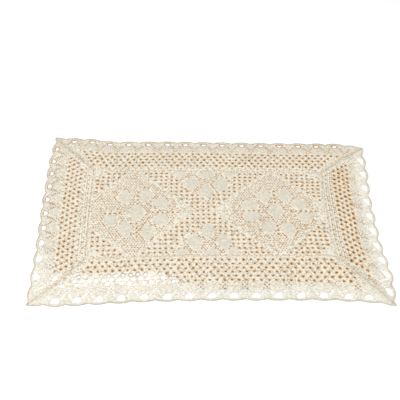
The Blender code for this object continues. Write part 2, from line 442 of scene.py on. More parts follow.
def lace_sheet(name, outline, chart, extra, thickness, density):
    """outline and each hole are (rim, shoulder) pairs of loops, and extra are loose points."""
    pairs = [anticlockwise(outline)] + [anticlockwise(hole) for hole in chart.holes]
    spots, loops = [], []
    for _, shoulder in pairs:
        loops.append(range(len(spots), len(spots) + len(shoulder)))
        spots.extend(shoulder)
    spots.extend(extra)
    flat, _, triangles, _, _, owners = delaunay_2d_cdt(
        [Vector(s) for s in spots], [], [list(loop) for loop in loops], 1, 1e-6
    )
    if len(flat) != len(spots):
        print(name, "has", len(flat) - len(spots), "points more than drawn: two outlines cross")
    sheet = Sheet()
    tops, unders = [], []
    for u, v in flat:
        dense, pale = density(u, v), paleness(u, v)
        tops.append(sheet.add(u, v, thickness(u, v), 0.0, dense, pale))
        # The underside gets painted brown shade, less where the lace is pale.
        unders.append(sheet.add(u, v, 0.0, 1 - pale, dense, pale))
    for triangle, owner in zip(triangles, owners):
        if owner == [0]:
            a, b, c = triangle
            sheet.faces.append((tops[a], tops[b], tops[c]))
            sheet.faces.append((unders[c], unders[b], unders[a]))
    for number, ((rim, _), loop) in enumerate(zip(pairs, loops)):
        is_hole = number > 0
        pale = paleness(*rim[0])
        # A hole's lips and rim get painted brown shade. It is deeper to the right, less where the lace
        # is pale, and varies from hole to hole.
        hole_shade_share = (1 - pale) * between(DEEPER_HOLE_SHADE, rim[0][0])
        shade = hole_shade_share * chance.uniform(*SHADE_VARIES) if is_hole else 0.0
        least_radius = min(math.dist(middle_of(rim), p) for p in rim)
        funnel = min(FUNNEL_MOST, FUNNEL_SHARE * least_radius) * (1 - pale)
        narrowed = wider(rim, -funnel) if is_hole else rim
        lip_painted_shade, rim_painted_shade = ALWAYS_SHADE + LIP_SHADE * shade, ALWAYS_SHADE + RIM_SHADE * shade
        lips, rims = [], []
        for (u, v), (narrow_u, narrow_v) in zip(rim, narrowed):
            thick = thickness(u, v)
            lips.append(sheet.add(u, v, thick * LIP_HEIGHT, lip_painted_shade, HOLE_DENSE, pale))
            rims.append(sheet.add(narrow_u, narrow_v, thick * RIM_HEIGHT, rim_painted_shade, HOLE_DENSE, pale))
        top_loop = [tops[k] for k in loop]
        under_loop = [unders[k] for k in loop]
        facing = 1 if is_hole else -1
        for upper, lower in ((top_loop, lips), (lips, rims), (rims, under_loop)):
            sheet.band(upper[::facing], lower[::facing])
    print(name, "holes", len(chart.holes), "left out", chart.left_out, "faces", len(sheet.faces))
    return as_object(name, sheet)


# %% [markdown]
# Loose points between the holes let the sheet bend over a fold. They lie on a
# triangular grid, and a grid point that is too near a hole is left out.

# %% Loose points for the solid cloth
POINT_PITCH = 3.0
POINT_CLEAR = 1.1
# The rows of a triangular grid lie this share of its pitch apart.
ROW_SHARE = 0.866


def tree_of(spots):
    tree = KDTree(len(spots))
    for number, (u, v) in enumerate(spots):
        tree.insert((u, v, 0.0), number)
    tree.balance()
    return tree


def loose_points(low_u, high_u, low_v, high_v, holes, inside):
    corners = tree_of([spot for _, shoulder in holes for spot in shoulder])
    middles = tree_of([middle_of(rim) for rim, _ in holes])
    points = []
    rows = int((high_v - low_v) / (POINT_PITCH * ROW_SHARE))
    columns = int((high_u - low_u) / POINT_PITCH)
    for row in range(rows + 1):
        for column in range(columns + 1):
            u = low_u + (column + 0.5 * (row % 2)) * POINT_PITCH
            v = low_v + row * POINT_PITCH * ROW_SHARE
            if not inside(u, v) or corners.find((u, v, 0.0))[2] < POINT_CLEAR:
                continue
            spot, number, distance = middles.find((u, v, 0.0))
            if distance > max(math.dist(spot[:2], p) for p in holes[number][0]):
                points.append((u, v))
    return points


# %% [markdown]
# The edging's chart, for one repeat. By the rim is a half-moon eyelet, with a solid
# diamond of close cloth over it and a solid foot between two eyelets. Between the
# diamonds stands a group of four small holes, and from it two ladders of short slits
# slant down to the eyelets. Above that is a net of six staggered rows. The net's spacing
# is a third of the repeat, so its first row has one larger hole over each eyelet.
#
# The real strips are stretched unevenly as they are sewn on. Short tables give how far
# the eyelets and the net are pulled along each rim, at a few places along it.

# %% Sizes in the edging's chart
# The net's holes, width along the rim and depth: plain, over an eyelet, near the hem.
NET_ROWS = 6
HOLES_A_ROW = 3
NET_HOLE = (4.4, 4.1)
OVER_EYELET = (4.9, 3.5)
TIGHT_HOLE = (2.2, 2.4)
TIGHT_FROM_HEM = 2.5

# The group of small holes in a valley between two diamonds: along, depth.
VALLEY_GROUP = ((0, 26.4), (-2.7, 23.4), (2.7, 23.4), (0, 20.4))
VALLEY_HOLE = 2.0
SMALL_SHOULDER = 0.35
SMALL_JITTER = 0.1

# The ladders start beside the group and slant at 60 degrees. Each slit is crosswise.
LADDER_START = (2.7, 17.9)
LADDER_SLITS = 5
LADDER_STEP = 2.5
SLIT = (3.9, 1.4)
SLIT_TURN = math.radians(30)

# Where the lace is pale its holes are wider and their shoulders narrower.
PALE_HOLE_EXTRA = 2.1
PALE_SLIT_EXTRA = 0.5
PALE_SHOULDER_LESS = 0.2

# how far in the rim goes between eyelets, near side of an eyelet, skew of its peak, first
# row of the net, distance of rows, pull of the net along the rim from row to row, how
# much larger its holes are stretched
ROWS = {
    "border_front": (2.3, 5.0, 0.8, 30.0, 6.1, 0.5, 0.1),
    "border_back": (2.6, 3.9, 0.0, 31.3, 5.95, -0.4, 0.4),
    "border_left": (3.0, 4.4, 0.0, 31.3, 6.0, 0.9, 0.3),
    "border_right": (3.8, 4.6, -3.2, 30.8, 6.1, 0.5, 0.8),
}
# place along the rim, pull along it
FRONT_PULL = ((10, -1), (64, -2.8), (118, -4.2), (172, -2.7), (320, -2), (361, -0.5), (388, 3), (415, 1))
EYELET_PULL = {
    "border_front": FRONT_PULL,
    "border_back": ((27, 2.5), (95, -0.5), (150, 1.9), (230, 0.1), (300, 1.8), (378, 2.7), (432, 2)),
    "border_left": ((24, 0), (75, -3.5), (151, -7.4), (228, -10.3), (253, -9)),
    "border_right": ((34, -2.2), (86, 0.6), (164, 3), (190, 3.1), (242, -1.5), (268, -0.5)),
}
NET_PULL = {
    "border_front": ((40, -4.9), (271, -4.9), (364, -1.8), (450, -1)),
    "border_back": ((0, 3.3), (450, 2.7)),
    "border_left": ((0, -5.6), (288, -7)),
    "border_right": ((0, 4.6), (288, 4.6)),
}
print("holes in one repeat's net", NET_ROWS * HOLES_A_ROW, "and slits", 2 * LADDER_SLITS)

# %% Holes of one repeat
def repeat_holes(name, number):
    """(rim, shoulder) pairs of one repeat's holes, its eyelet first."""
    first, pitch, _, hem = EDGINGS[name]
    _, near, skew, first_row, row_step, row_pull, stretched = ROWS[name]
    centre = first + pitch * number
    pulled = centre + between(EYELET_PULL[name], centre)
    holes = [eyelet(pulled, near, skew)]
    valley = centre + pitch / 2
    valley += between(EYELET_PULL[name], valley)
    for along, depth in VALLEY_GROUP:
        wide = VALLEY_HOLE + PALE_SLIT_EXTRA * paleness(*on_side(name, valley + along, depth))
        holes.append(oval_hole(valley + along, depth, wide, wide, 8, SMALL_SHOULDER, SMALL_JITTER))
    for side in (-1, 1):
        for k in range(LADDER_SLITS):
            along = valley + side * (LADDER_START[0] + 0.5 * LADDER_STEP * k)
            depth = LADDER_START[1] - ROW_SHARE * LADDER_STEP * k
            more = PALE_SLIT_EXTRA * paleness(*on_side(name, along, depth))
            holes.append(slit(along, depth, SLIT[0] + more, SLIT[1] + more, side * SLIT_TURN))
    for row in range(NET_ROWS):
        depth = first_row + row_step * row
        tight = depth > BORDER - hem - TIGHT_FROM_HEM
        for k in range(HOLES_A_ROW):
            along = centre + pitch / HOLES_A_ROW * (k + 0.5 * (row % 2))
            along += between(NET_PULL[name], along) + row_pull * row
            wide, deep = TIGHT_HOLE if tight else OVER_EYELET if row == k == 0 else NET_HOLE
            pale = paleness(*on_side(name, along, depth))
            more = PALE_HOLE_EXTRA * pale + (0 if tight else stretched)
            shoulder = SHOULDER - PALE_SHOULDER_LESS * pale
            holes.append(oval_hole(along, depth, wide + more, deep + more, 8, shoulder))
    return holes


# %% Outline of the edging
RIM_UNDER_CORD = 1.3
DRAWN_GAP = 0.1
OUTLINE_STEP = 2.2
MITRE_STEPS = 20
SEAM_STEPS = 60
# The scallops fade out over this distance from a corner.
END_FADE = 4


def scallop(name, along, start, stop):
    """How far the rim lies in from its straight line, which runs from start to stop."""
    first, pitch, _, _ = EDGINGS[name]
    pulled = along - between(EYELET_PULL[name], along)
    fade = min(1, (along - start) / END_FADE, (stop - along) / END_FADE)
    return ROWS[name][0] * (1 - abs(math.cos(math.pi * (pulled - first) / pitch))) * fade


def edging_outline(name, inset):
    """The mitred outline of one edging, inset from its rim, mitres and seam."""
    length = side_length(name)
    outer = RIM_UNDER_CORD + inset
    seam = BORDER - DRAWN_GAP / 2 - inset
    end = DRAWN_GAP * math.sqrt(0.5) + inset * math.sqrt(2)
    steps = round(length / OUTLINE_STEP)
    start, stop = outer + end, length - outer - end
    loop = []
    for k in range(steps + 1):
        along = start + (stop - start) * k / steps
        loop.append((along, outer + scallop(name, along, start, stop)))
    slope = [outer + (seam - outer) * k / MITRE_STEPS for k in range(1, MITRE_STEPS)]
    seam_long = length - 2 * (seam + end)
    loop += [(length - d - end, d) for d in slope]
    loop += [(length - seam - end - seam_long * k / SEAM_STEPS, seam) for k in range(SEAM_STEPS + 1)]
    loop += [(d + end, d) for d in reversed(slope)]
    return loop


# %% [markdown]
# The thickness is what shows as relief: the edging is thicker in its hem, along its
# mitres and in its solid diamonds than in its net. Where the mat lies flat on the table
# its threads are pressed thinner.

# %% Build one length of edging
THREAD = 1.3
SOLID = 1.55
HEM_EXTRA = 0.15
MITRE_EXTRA = 0.2
# Depths in from the rim at which the solid diamonds thin out, and grow less close.
SOLID_TO = (24, 29)
DENSE_TO = (24, 28)
DIAMOND_DENSE = 0.6
HEM_SLOPE = 3
MITRE_BAND = (1.5, 4.0)
# Where it lies flat, the lace has this share of its thickness.
PRESSED_SHARE = 0.45
PRESSED_LIFT = (0.2, 2.0)
# How far holes and loose points keep from the rim, the seam and the mitre.
SEAM_CLEAR = 1.2
MITRE_CLEAR = 5.46
POINTS_FROM_RIM, POINTS_FROM_SEAM, POINTS_FROM_MITRE = 4.5, 1.6, 2.4
EDGE_SHOULDER = 0.7


def pressed(u, v):
    return PRESSED_SHARE + (1 - PRESSED_SHARE) * smooth(PRESSED_LIFT, lift(u, v))


def make_edging(name):
    length = side_length(name)
    _, _, count, hem = EDGINGS[name]

    def flat_places(loops):
        return [[on_side(name, *spot) for spot in loop] for loop in loops]

    def from_mitre(along, depth):
        return min(along, length - along) - depth

    def fits(shoulder):
        near_seam = any(depth > BORDER - SEAM_CLEAR for _, depth in shoulder)
        return not near_seam and all(from_mitre(*spot) >= MITRE_CLEAR for spot in shoulder)

    def thickness(u, v):
        along, depth = from_side(name, u, v)
        mitre = from_mitre(along, depth) / math.sqrt(2)
        thick = THREAD + (SOLID - THREAD) * (1 - smooth(SOLID_TO, depth))
        thick += HEM_EXTRA * smooth((BORDER - hem - HEM_SLOPE, BORDER - hem), depth)
        return (thick + MITRE_EXTRA * (1 - smooth(MITRE_BAND, mitre))) * pressed(u, v)

    def density(u, v):
        _, depth = from_side(name, u, v)
        return DIAMOND_DENSE * (1 - smooth(DENSE_TO, depth))

    def inside(u, v):
        along, depth = from_side(name, u, v)
        between_edges = POINTS_FROM_RIM < depth < BORDER - POINTS_FROM_SEAM
        return between_edges and from_mitre(along, depth) > POINTS_FROM_MITRE

    chart = Chart()
    repeats = [repeat_holes(name, number) for number in range(-2, count + 2)]
    eyelets = [repeat[0] for repeat in repeats]
    for hole in eyelets + [hole for repeat in repeats for hole in repeat[1:]]:
        if fits(hole[1]):
            chart.add(hole)
    chart.holes = [flat_places(hole) for hole in chart.holes]
    outline = flat_places([edging_outline(name, inset) for inset in (0.0, EDGE_SHOULDER)])
    us, vs = zip(*outline[0])
    extra = loose_points(min(us), max(us), min(vs), max(vs), chart.holes, inside)
    return lace_sheet(name + "_lace", outline, chart, extra, thickness, density)


edgings = {name: make_edging(name) for name in EDGINGS}

# %% [markdown]
# The panel's chart is a square grid of cells. A cell is open ground, or belongs to a
# medallion: a flower of lozenge petals, eight at the left and nine at the right, in a
# diamond of fine mesh, with a plain band round it. Half flowers of six petals stand at
# the middle of the long edges.

# %% Petals of the panel
CELL = 7.23
# The middle of each whole flower.
FLOWERS = ((-95.1, -3.0), (90.2, 0.0))
# The power of a petal's outline: 1 is a sharp lozenge and 2 an ellipse.
PETAL_POWER = 1.15
# The petals of the whole flowers: flower, u and v from its middle, half width, half height.
PETALS = (
    (0, -1.5, 0, 12.6, 16.2),
    (0, -18, 27, 10.8, 15.0),
    (0, 10, 30.5, 10.8, 15.0),
    (0, 31, 16, 12.6, 12.0),
    (0, 30.5, -14.5, 12.6, 12.0),
    (0, 14.5, -34, 11.4, 15.0),
    (0, -15.5, -27.5, 10.8, 15.0),
    (0, -34, -13, 12.6, 12.0),
    (1, 0, 0, 12.6, 16.2),
    (1, -15, 28, 10.8, 15.0),
    (1, 14, 29.5, 10.8, 15.0),
    (1, 33, 13, 12.6, 12.0),
    (1, 38, -11.5, 12.6, 12.0),
    (1, 14, -33.5, 11.4, 15.0),
    (1, -12, -29, 10.8, 15.0),
    (1, -34, -10, 12.6, 12.0),
    (1, -34.5, 10, 12.6, 12.0),
)
# The petals of the half flowers: 1 at the back and -1 at the front, u, distance in from
# the panel's edge, half width, half height.
HALF_PETALS = (
    (1, -2.4, 42, 11.4, 15.0),
    (1, -23, 26.5, 11.4, 16.8),
    (1, 17, 28, 11.4, 16.8),
    (1, -3.5, 7.5, 13.2, 10.8),
    (1, -39, 7, 10.2, 10.2),
    (1, 28.5, 6, 10.2, 10.2),
    (-1, -2.2, 40, 11.4, 13.8),
    (-1, -20.6, 23, 11.4, 15.0),
    (-1, 17.3, 23, 11.4, 15.0),
    (-1, 0.8, 4.5, 10.8, 9.6),
    (-1, -38, 4.5, 10.8, 9.0),
    (-1, 28.5, 4.5, 10.8, 9.0),
)
# Every petal as u, v, half width, half height.
PETAL_LIST = [(u, back * (PANEL_V - inward), *size) for back, u, inward, *size in HALF_PETALS]
PETAL_LIST += [(FLOWERS[n][0] + u, FLOWERS[n][1] + v, *size) for n, u, v, *size in PETALS]


def petal_depth(u, v):
    """1 at the middle of a petal, 0 at its outline and below 0 outside."""
    best = -9.0
    for petal_u, petal_v, half_width, half_height in PETAL_LIST:
        across, up = abs(u - petal_u) / half_width, abs(v - petal_v) / half_height
        if across < 2 and up < 2:
            best = max(best, 1 - (across**PETAL_POWER + up**PETAL_POWER) ** (1 / PETAL_POWER))
    return best


print("petals", len(PETAL_LIST))

# %% Open ground and medallions, in cells
LAST_COLUMN, LAST_ROW = 21, 10
MEDALLION_COLUMNS = (-14, 12)
HALF_COLUMN = -1
MEDALLION_REACH = 12.0
BAND_FROM = 10.6
HALF_MEDALLION = (7, 6, 5, 5, 4, 2, 1)
CORNER_PATCH = 2


def half_width_at(row):
    """Half width in cells of a half medallion, at a row counted in from the panel's edge."""
    return HALF_MEDALLION[row] if 0 <= row < len(HALF_MEDALLION) else 0


def is_open(column, row):
    from_edge = LAST_ROW - abs(row)
    if any(abs(column - middle) + abs(row) < MEDALLION_REACH for middle in MEDALLION_COLUMNS):
        return False
    if abs(column - HALF_COLUMN) < half_width_at(from_edge):
        return False
    return from_edge + LAST_COLUMN - abs(column) >= CORNER_PATCH


# %% [markdown]
# Fine mesh fills what is left of a medallion: between the petals, and in a ring
# outside them. Its pinholes are on a staggered grid of half cells, and are larger next
# to a petal, which outlines it. The points at the sides of a medallion are close cloth.

# %% Holes of the panel
GROUND_HOLE = (4.5, 4.0)
SEAM_ROW_HOLE = 1.5
SEAM_ROW_IN = 1.9

# Lines of single larger holes along a flower's two axes: first place, step, number.
LINES_ACROSS = ((-43, 6.6, 4), (20.5, 6.6, 6))
LINES_UP = ((15.5, 7.4, 4), (-42, 7.3, 3))
LINE_HOLE = 3.6

FINE_STEP = CELL / 2
FINE_ROW = FINE_STEP * ROW_SHARE
FINE_HOLE = 1.65
FINE_SHOULDER = 0.42
FINE_JITTER = 0.12
FINE_VARIES = (0.68, 1.18)
FINE_FROM_SEAM = 3.0
# petal_depth() at which holes may begin, and at which the larger ones end.
PETAL_CLEAR = -0.1
PETAL_EDGE = -0.3
PETAL_EDGE_HOLE = 2.6
# In cells: where the close cloth at a medallion's sides begins, the open line through
# it, and how far the fine mesh keeps from a half medallion's rim.
SIDE_PATCH = 7.6
SIDE_LINE = 0.3
HALF_BAND = 1.1


def is_fine(u, v):
    """True where the panel has fine mesh."""
    petal = petal_depth(u, v)
    if petal > PETAL_CLEAR:
        return False
    for middle in MEDALLION_COLUMNS:
        across, back = abs(u / CELL - middle), abs(v / CELL)
        if across + back < BAND_FROM:
            return across < SIDE_PATCH or back < SIDE_LINE
    if petal > PETAL_EDGE:
        return True
    from_edge = (PANEL_V - abs(v)) / CELL - 0.5
    return abs(u / CELL - HALF_COLUMN) < half_width_at(round(from_edge)) - HALF_BAND


def line_holes(chart):
    for middle_u, middle_v in FLOWERS:
        spots = [(first + step * k, 0.0) for first, step, number in LINES_ACROSS for k in range(number)]
        spots += [(0.0, first + step * k) for first, step, number in LINES_UP for k in range(number)]
        for u, v in spots:
            chart.add(oval_hole(middle_u + u, middle_v + v, LINE_HOLE, LINE_HOLE, 8))


def panel_chart():
    chart = Chart()
    for column in range(-LAST_COLUMN, LAST_COLUMN + 1):
        for row in range(-LAST_ROW, LAST_ROW + 1):
            if is_open(column, row) and petal_depth(column * CELL, row * CELL) < PETAL_CLEAR:
                chart.add(oval_hole(column * CELL, row * CELL, *GROUND_HOLE, 8))
    line_holes(chart)
    for back in (-1, 1):
        for k in range(-LAST_COLUMN, LAST_COLUMN):
            u, v = (k + 0.5) * CELL, back * (PANEL_V - SEAM_ROW_IN)
            hole = oval_hole(u, v, SEAM_ROW_HOLE, SEAM_ROW_HOLE, 6, SMALL_SHOULDER, SMALL_JITTER)
            chart.add(hole)
    half_u, half_v = PANEL_U - FINE_FROM_SEAM, PANEL_V - FINE_FROM_SEAM
    for j in range(-int(half_v / FINE_ROW), int(half_v / FINE_ROW) + 1):
        for i in range(-int(half_u / FINE_STEP) - 1, int(half_u / FINE_STEP) + 1):
            u, v = (i + 0.5 * (j % 2)) * FINE_STEP, j * FINE_ROW
            if abs(u) < half_u and is_fine(u, v):
                size = PETAL_EDGE_HOLE if petal_depth(u, v) > PETAL_EDGE else FINE_HOLE
                size *= chance.uniform(*FINE_VARIES)
                chart.add(oval_hole(u, v, size, size, 6, FINE_SHOULDER, FINE_JITTER))
    return chart


# %% Build the panel
LONG_STEPS, SHORT_STEPS = 60, 30
PANEL_SHOULDER = 0.5
POINTS_IN_PANEL = 1.7
PETAL_RELIEF = 0.4
# petal_depth() over which a petal thickens, and over which its cloth grows close.
PETAL_SLOPE = (-0.05, 0.35)
PETAL_DENSE = (-0.06, 0.1)


def panel_outline(inset):
    half_u, half_v = PANEL_U - DRAWN_GAP / 2 - inset, PANEL_V - DRAWN_GAP / 2 - inset
    loop = [(-half_u + 2 * half_u * k / LONG_STEPS, -half_v) for k in range(LONG_STEPS)]
    loop += [(half_u, -half_v + 2 * half_v * k / SHORT_STEPS) for k in range(SHORT_STEPS)]
    return loop + [(-u, -v) for u, v in loop]


def make_panel():
    def thickness(u, v):
        return THREAD + PETAL_RELIEF * smooth(PETAL_SLOPE, petal_depth(u, v))

    def density(u, v):
        return smooth(PETAL_DENSE, petal_depth(u, v))

    def inside(u, v):
        return abs(u) < PANEL_U - POINTS_IN_PANEL and abs(v) < PANEL_V - POINTS_IN_PANEL

    chart = panel_chart()
    extra = loose_points(-PANEL_U, PANEL_U, -PANEL_V, PANEL_V, chart.holes, inside)
    outline = (panel_outline(0.0), panel_outline(PANEL_SHOULDER))
    return lace_sheet("centre_panel_lace", outline, chart, extra, thickness, density)


panel = make_panel()

# %% [markdown]
# Shader maths reads best as arithmetic. Value wraps a socket, and each operator on it
# adds a Math node. node() makes any other node: its settings first, then its inputs.

# %% A small wrapper for shader nodes
class Value:
    def __init__(self, tree, socket):
        self.tree, self.socket = tree, socket

    def math(self, operation, *others, flip=False):
        maths = self.tree.nodes.new("ShaderNodeMath")
        maths.operation = operation
        terms = [*others, self] if flip else [self, *others]
        for slot, term in zip(maths.inputs, terms):
            if isinstance(term, Value):
                self.tree.links.new(term.socket, slot)
            else:
                slot.default_value = term
        return Value(self.tree, maths.outputs[0])

    def __add__(self, other):
        return self.math("ADD", other)

    def __mul__(self, other):
        return self.math("MULTIPLY", other)

    def __sub__(self, other):
        return self.math("SUBTRACT", other)

    def __rsub__(self, other):
        return self.math("SUBTRACT", other, flip=True)


def node(tree, kind, settings=(), inputs=(), output=0):
    made = tree.nodes.new(kind)
    for name, value in dict(settings).items():
        setattr(made, name, value)
    for name, value in dict(inputs).items():
        if isinstance(value, Value):
            tree.links.new(value.socket, made.inputs[name])
        else:
            made.inputs[name].default_value = value
    return Value(tree, made.outputs[output])


def mix(tree, factor, a, b):
    """A colour between a and b."""
    return node(tree, "ShaderNodeMix", {"data_type": "RGBA"}, {"Factor": factor, "A": a, "B": b}, 2)


# %% [markdown]
# Cotton thread is matt, with a soft bloom of loose fibres at grazing light, so it has
# no gloss and a little sheen. The net is plaited, so its threads cross on the slant,
# and the close cloth shows courses straight along and across. Both are waves on the flat
# UV map, and a noise adds the knots. Between threads, painted shade and the cotton's
# grain make the cream browner in the net and greyer in close cloth. Down in a hole
# the colour is a painted warm brown shade.

# %% Waves and ridges on the flat map
# Ridges along the side hems and the mitres are drawn only as painted shade between them:
# width, and the mean that is taken off so that a ridged place is no darker. They are
# plainer at the right, and on the mitres at the front right: strength at the middle, and
# what a millimetre adds.
RIDGE_PITCH = 3.0
RIDGED_HEM = (1.0, 13.0)
RIDGED_MITRE = 7.5
HEM_MEAN, MITRE_MEAN = 0.25, 0.3
HEM_PLAIN, HEM_A_MM = 0.9, 0.0015
MITRE_PLAIN, MITRE_A_MM, MITRE_LEAST = 0.35, 0.002, 0.2


def wave(across, pitch):
    """0 to 1 and back over each pitch, from a distance in millimetres."""
    return (across * (math.tau / pitch)).math("SINE") * 0.5 + 0.5


def grooves(u, v):
    """Shade between the ridges, from flat places in millimetres."""
    out_u, out_v = u.math("ABSOLUTE") - PANEL_U, v.math("ABSOLUTE") - PANEL_V
    off_mitre = (out_u - out_v) * math.sqrt(0.5)
    by_mitre = off_mitre.math("ABSOLUTE").math("LESS_THAN", RIDGED_MITRE)
    by_mitre = by_mitre * out_u.math("MINIMUM", out_v).math("GREATER_THAN", 0.0)
    in_hem = out_u.math("GREATER_THAN", RIDGED_HEM[0]) * out_u.math("LESS_THAN", RIDGED_HEM[1])
    in_hem = in_hem * off_mitre.math("GREATER_THAN", 0.0) * (1 - by_mitre)
    hem = wave(out_u, RIDGE_PITCH).math("POWER", 2.0) * (u * HEM_A_MM + HEM_PLAIN) - HEM_MEAN
    plain = ((u - v) * MITRE_A_MM + MITRE_PLAIN).math("MAXIMUM", MITRE_LEAST)
    mitre = (wave(off_mitre, RIDGE_PITCH).math("POWER", 2.0) - MITRE_MEAN) * plain
    return in_hem * hem + by_mitre * mitre


# %% Cotton
# The cotton's cream, and a paler cream that is painted light where the lace is pale. Then painted shade
# between threads in the net and in close cloth, which is also the dark end of the grain, and the painted
# brown shade down in the holes.
CREAM = (0.81, 0.76, 0.64, 1.0)
PAINTED_LIGHT_CREAM = (0.84, 0.80, 0.70, 1.0)
NET_SHADE = (0.46, 0.395, 0.285, 1.0)
CLOTH_SHADE = (0.49, 0.44, 0.345, 1.0)
PAINTED_HOLE_SHADE = (0.63, 0.315, 0.07, 1.0)
SURFACE = {"Roughness": 0.9, "Sheen Weight": 0.12, "Sheen Roughness": 0.6, "Specular IOR Level": 0.2}
THREAD_PITCH = 1.15
COURSE_PITCH = 2.35
PLAIT_PITCH = 3.9
# How much each of these darkens the cream: the weave, close cloth and the ridges as
# painted shade, and fibres and patches as the cotton's own tone. Also how much grain darkens
# it, and how much less grain close cloth has.
WEAVE_SHADE, FIBRE_SHADE, PATCH_SHADE, DENSE_SHADE, RIDGE_SHADE = 0.5, 0.35, 0.4, 0.22, 1.1
GRAIN_SHADE, LESS_GRAIN = 5.0, 3.6
PALE_LESS_SHADE = 0.3
HOLE_POWER = 1.2
WEAVE_RELIEF, FIBRE_RELIEF, GRAIN_RELIEF = 0.6, 0.25, 0.9
RELIEF = {"Strength": 0.6, "Distance": 0.0004}
# Scale and detail of each noise.
FIBRES, GRAIN, PATCHES = (1400.0, 3.0), (430.0, 2.0), (22.0, 2.0)


def noise(tree, at, scale, detail):
    return node(tree, "ShaderNodeTexNoise", (), {"Vector": at, "Scale": scale, "Detail": detail})


def attribute(tree, name):
    return node(tree, "ShaderNodeAttribute", {"attribute_name": name}, output=2)


def make_cotton(name):
    material = bpy.data.materials.new(name)
    material.use_nodes = True
    tree = material.node_tree
    surface = tree.nodes["Principled BSDF"]
    for label, value in SURFACE.items():
        surface.inputs[label].default_value = value
    flat = node(tree, "ShaderNodeUVMap", {"uv_map": "flat"})
    apart = tree.nodes.new("ShaderNodeSeparateXYZ")
    tree.links.new(flat.socket, apart.inputs[0])
    u, v = Value(tree, apart.outputs[0]) * 1000, Value(tree, apart.outputs[1]) * 1000
    depth, dense, pale = [attribute(tree, label) for label in ("depth", "dense", "pale")]
    slanted = wave(u + v, PLAIT_PITCH) * 0.5 + wave(u - v, PLAIT_PITCH) * 0.5
    straight = wave(u, THREAD_PITCH) * 0.3 + wave(v, COURSE_PITCH) * 0.7
    weave = slanted + (straight - slanted) * dense
    on_object = node(tree, "ShaderNodeTexCoord", output=3)
    fibres, grain, patches = [noise(tree, on_object, *row) for row in (FIBRES, GRAIN, PATCHES)]
    # Painted shade comes from the weave, close cloth and the ridges. The cotton's own tone comes from
    # fibres, patches and grain.
    painted_shade_and_tone = (1 - weave) * WEAVE_SHADE + (0.5 - fibres) * FIBRE_SHADE + (patches - 0.5) * PATCH_SHADE
    painted_shade_and_tone = painted_shade_and_tone + dense * DENSE_SHADE + (0.5 - grain) * (GRAIN_SHADE - dense * LESS_GRAIN)
    painted_shade_and_tone = (painted_shade_and_tone + grooves(u, v) * RIDGE_SHADE) * (1 - pale * PALE_LESS_SHADE)
    painted_shade_and_tone = painted_shade_and_tone.math("MAXIMUM", 0.0).math("MINIMUM", 1.0)
    # Where the lace is pale, the cream has painted light and less painted shade.
    lit_cream = mix(tree, pale, CREAM, PAINTED_LIGHT_CREAM)
    colour = mix(tree, painted_shade_and_tone, lit_cream, mix(tree, dense, NET_SHADE, CLOTH_SHADE))
    # Down in a hole, underneath and on larger stitches, the colour goes towards the painted brown shade.
    colour = mix(tree, depth.math("POWER", HOLE_POWER), colour, PAINTED_HOLE_SHADE)
    tree.links.new(colour.socket, surface.inputs["Base Color"])
    height = weave * WEAVE_RELIEF + fibres * FIBRE_RELIEF + grain * GRAIN_RELIEF
    raised = node(tree, "ShaderNodeBump", (), {**RELIEF, "Height": height})
    tree.links.new(raised.socket, surface.inputs["Normal"])
    return material


lace_cotton = make_cotton("lace_cotton")
print(lace_cotton.name, "has", len(lace_cotton.node_tree.nodes), "nodes")
for piece in [panel, *edgings.values()]:
    piece.data.materials.append(lace_cotton)

# %% [markdown]
# The rim of the mat is a two-ply cord that follows the scallops all the way round. It
# is swept here as two thin tubes that wind round each other.

# %% Twisted rim cord
CORD_IN = 1.6
CORD_ABOVE = 0.95
PLY_RADIUS = 0.54
PLY_OFFSET = 0.46
TWIST = 7.2
CORD_STEP = 1.2
PLY_SIDES = 6
# The cord has this much painted light, which lightens its shaded sides.
CORD_PAINTED_LIGHT = 0.8


def rim_path():
    """Flat places along the middle of the rim cord, once round the mat."""
    path = []
    for name in ("border_front", "border_right", "border_back", "border_left"):
        length = side_length(name)
        steps = round(length / CORD_STEP)
        side = []
        for k in range(1, steps):
            along = CORD_IN + (length - 2 * CORD_IN) * k / steps
            depth = CORD_IN + scallop(name, along, CORD_IN, length - CORD_IN)
            side.append(on_side(name, along, depth))
        path += side[::-1] if name in FAR_SIDES else side
    return path


def ply(path, winding):
    """A closed tube that winds round a closed path of flat places."""
    sheet = Sheet()
    count = len(path)
    spots = [place(u, v, CORD_ABOVE) for u, v in path]
    lengths = [0.0]
    for a, b in zip(spots, spots[1:]):
        lengths.append(lengths[-1] + (b - a).length)
    travelled = lengths[-1] + (spots[0] - spots[-1]).length
    turns = round(travelled / (TWIST * MM))
    print("a ply runs", round(travelled, 3), "m along the rim and turns", turns, "times")
    for k, spot in enumerate(spots):
        ahead = (spots[(k + 1) % count] - spots[k - 1]).normalized()
        sideways = ahead.cross(Vector((0, 0, 1))).normalized()
        upwards = sideways.cross(ahead)
        angle = math.tau * turns * lengths[k] / travelled + winding
        out = sideways * math.cos(angle) + upwards * math.sin(angle)
        for j in range(PLY_SIDES):
            a = math.tau * j / PLY_SIDES + angle
            skin = sideways * math.cos(a) + upwards * math.sin(a)
            point = spot + out * PLY_OFFSET * MM + skin * PLY_RADIUS * MM
            flat = (lengths[k], PLY_RADIUS * MM * a)
            sheet.vertices.append((point, flat, 0.0, 1.0, CORD_PAINTED_LIGHT))
    for k in range(count):
        n = (k + 1) % count
        for j in range(PLY_SIDES):
            m = (j + 1) % PLY_SIDES
            here, next_ring = k * PLY_SIDES, n * PLY_SIDES
            sheet.faces.append((here + j, here + m, next_ring + m, next_ring + j))
    return sheet


def joined(name, sheets):
    whole = Sheet()
    for sheet in sheets:
        start = len(whole.vertices)
        whole.vertices += sheet.vertices
        whole.faces += [tuple(start + i for i in face) for face in sheet.faces]
    return as_object(name, whole)


